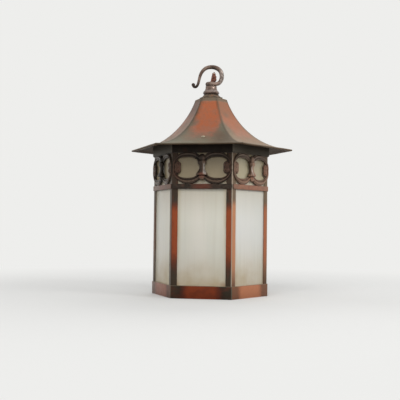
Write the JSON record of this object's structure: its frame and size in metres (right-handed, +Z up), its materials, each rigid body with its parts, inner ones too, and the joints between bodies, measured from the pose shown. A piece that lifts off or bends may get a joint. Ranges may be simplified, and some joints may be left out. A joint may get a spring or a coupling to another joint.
{
  "type": "lantern pendant light",
  "caption": "Hexagonal copper lantern with a flared roof, a pierced frieze, opal glass panes and a scroll hook to hang it by.",
  "frame": {"origin": "centre of the base band's lower edge, where the lantern stands", "axes": "+Z up through the hook, -Y out of the front face, +X through a corner of the hexagon"},
  "size_m": [0.285, 0.2468, 0.4016],
  "materials": {
    "sheet_copper": "aged copper sheet, warm where it is rubbed and brown at the edges",
    "dark_copper": "copper gone nearly black-brown",
    "cast_copper": "cast copper alloy with brown patina and rubbed high spots",
    "bronze": "polished brown bronze",
    "patina_copper": "greenish grey patina",
    "brass": "plain brass",
    "opal_glass": "opal sheet glass, faintly streaked",
    "frosted_glass": "inside-frosted bulb glass",
    "porcelain": "glazed white porcelain",
    "fibre": "pressed insulating fibre",
    "cloth": "rust-brown woven cloth covering"
  },
  "bodies": {
    "lantern": {"base_band": "sheet_copper", "top_collar": "dark_copper", "frieze_1": "cast_copper", "frieze_2": "cast_copper", "frieze_3": "cast_copper", "frieze_4": "cast_copper", "frieze_5": "cast_copper", "frieze_6": "cast_copper", "glass_pane_1": "opal_glass", "glass_pane_2": "opal_glass", "glass_pane_3": "opal_glass", "glass_pane_4": "opal_glass", "glass_pane_5": "opal_glass", "glass_pane_6": "opal_glass", "corner_post_1": "dark_copper", "corner_post_2": "dark_copper", "corner_post_3": "dark_copper", "corner_post_4": "dark_copper", "corner_post_5": "dark_copper", "corner_post_6": "dark_copper", "glass_clip_1": "sheet_copper", "glass_clip_2": "sheet_copper", "glass_clip_3": "sheet_copper", "glass_clip_4": "sheet_copper", "glass_clip_5": "sheet_copper", "glass_clip_6": "sheet_copper", "roof": "sheet_copper", "roof_bracket_1": "sheet_copper", "roof_bracket_2": "sheet_copper", "roof_bracket_3": "sheet_copper", "roof_screw_1": "bronze", "roof_screw_2": "bronze", "roof_screw_3": "bronze", "roof_cap": "patina_copper", "hub": "bronze", "nipple": "brass", "roof_washer": "brass", "lock_nut": "brass", "holder_cap": "brass", "holder_shell": "brass", "insulating_sleeve": "fibre", "screw_shell": "brass", "porcelain_base": "porcelain", "centre_contact": "brass", "terminal_screw_1": "brass", "terminal_screw_2": "brass", "lead_1": "cloth", "lead_2": "cloth", "bulb_glass": "frosted_glass", "bulb_cap": "brass", "bulb_foot": "porcelain"},
    "hook": {"hook": "bronze"}
  },
  "joints": [
    {"name": "hook_swivel", "type": "hinge", "parent": "lantern", "child": "hook", "pos_m": [0, 0, 0.3674], "axis": [0, 0, 1], "range_deg": [-180, 180]}
  ]
}
